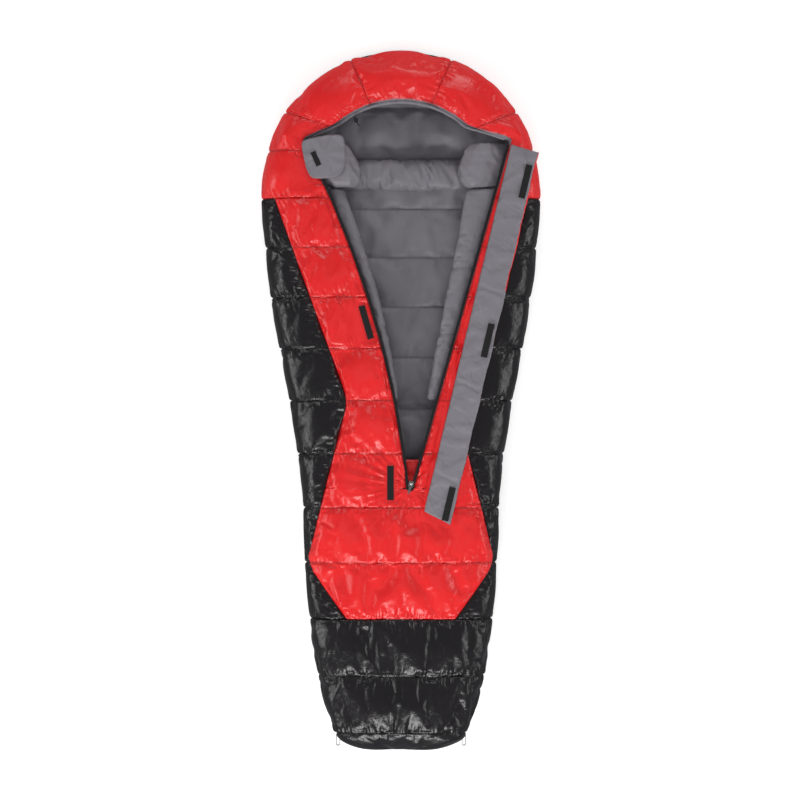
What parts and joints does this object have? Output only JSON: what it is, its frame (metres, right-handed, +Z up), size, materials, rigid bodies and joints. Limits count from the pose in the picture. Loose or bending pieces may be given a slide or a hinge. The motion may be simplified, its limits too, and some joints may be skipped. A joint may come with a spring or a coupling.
{
  "type": "mummy sleeping bag",
  "caption": "Mummy-shaped down sleeping bag lying open: box-walled quilted shell, hood, centre zip with storm flap, draft collar and quilted foot end.",
  "frame": {"origin": "under the middle of the bag, on the ground", "axes": "+Y from the foot end to the hood, +X to the storm flap's side, +Z up through the open front"},
  "size_m": [0.85, 2.15, 0.2167],
  "materials": {
    "black_nylon": "gloss",
    "red_nylon": "gloss",
    "grey_lining": "satin",
    "down": "matte",
    "baffle_mesh": "matte",
    "black_webbing": "matte",
    "hook_and_loop": "matte",
    "cord": "matte",
    "black_tape": "matte",
    "black_plastic": "satin",
    "zip_coil": "satin",
    "nickel": "gloss",
    "spring_steel": "satin"
  },
  "bodies": {
    "bag": {"base_baffle_walls": "baffle_mesh", "base_down": "down", "base_lining": "grey_lining", "base_shell": "black_nylon", "chest_down_left": "down", "chest_down_right": "down", "chest_loop_patch": "hook_and_loop", "chest_shell_left": "red_nylon", "chest_shell_right": "red_nylon", "collar_back": "grey_lining", "collar_left": "grey_lining", "collar_right": "grey_lining", "cord_lock_barrel": "black_plastic", "cord_lock_spring": "spring_steel", "draft_tube_left": "grey_lining", "draft_tube_right": "grey_lining", "foot_down": "down", "foot_end_down": "down", "foot_end_lining": "grey_lining", "foot_end_shell": "black_nylon", "foot_hang_loops": "black_webbing", "foot_shell": "black_nylon", "front_baffle_walls_left": "baffle_mesh", "front_baffle_walls_right": "baffle_mesh", "hood_baffle_walls": "baffle_mesh", "hood_drawcord": "cord", "hood_lining": "grey_lining", "hood_rim_binding": "grey_lining", "hood_shell": "red_nylon", "hood_side_down": "down", "hood_top_down": "down", "leg_baffle_walls": "baffle_mesh", "leg_down": "down", "leg_loop_patch": "hook_and_loop", "leg_shell": "red_nylon", "side_down_left": "down", "side_down_right": "down", "side_shell_left": "black_nylon", "side_shell_right": "black_nylon", "top_lining_left": "grey_lining", "top_lining_right": "grey_lining", "zip_end_gusset": "red_nylon", "zip_stops": "zip_coil", "zip_tape_left": "black_tape", "zip_tape_right": "black_tape", "zip_teeth_left": "zip_coil", "zip_teeth_right": "zip_coil"},
    "storm_flap": {"flap_shell": "red_nylon", "flap_down": "down", "flap_lining": "grey_lining", "flap_hook_bottom": "hook_and_loop", "flap_hook_middle": "hook_and_loop", "flap_hook_top": "hook_and_loop"},
    "collar_flap": {"collar_tab": "grey_lining", "collar_tab_loop_patch": "hook_and_loop"},
    "slider": {"zip_slider": "nickel"},
    "outer_pull": {"outer_pull": "nickel"},
    "inner_pull": {"inner_pull": "nickel"},
    "lock_plunger": {"cord_lock_plunger": "black_plastic"}
  },
  "joints": [
    {"name": "storm_flap_fold", "type": "hinge", "parent": "bag", "child": "storm_flap", "pos_m": [0.068, -0.343, 0.215], "axis": [-0.2315, -0.9728, 0], "range_deg": [0, 172]},
    {"name": "collar_flap_fold", "type": "hinge", "parent": "bag", "child": "collar_flap", "pos_m": [-0.168, 0.74, 0.2135], "axis": [0, 1, 0], "range_deg": [0, 172]},
    {"name": "zip_slide", "type": "slide", "parent": "bag", "child": "slider", "axis": [0.2689, 0.9632, 0], "range_m": [0, 1.0587]},
    {"name": "outer_pull_hinge", "type": "hinge", "parent": "slider", "child": "outer_pull", "pos_m": [0.03096, -0.2594, 0.2052], "axis": [-0.9632, 0.2689, 0], "range_deg": [0, 165]},
    {"name": "inner_pull_hinge", "type": "hinge", "parent": "slider", "child": "inner_pull", "pos_m": [0.03096, -0.2594, 0.1908], "axis": [0.9632, -0.2689, 0], "range_deg": [-60, 45]},
    {"name": "lock_press", "type": "slide", "parent": "bag", "child": "lock_plunger", "axis": [0, 0, -1], "range_m": [0, 0.004], "stiffness_N_per_m": 400, "springref_m": -0.002, "deforming": ["cord_lock_spring"]}
  ]
}
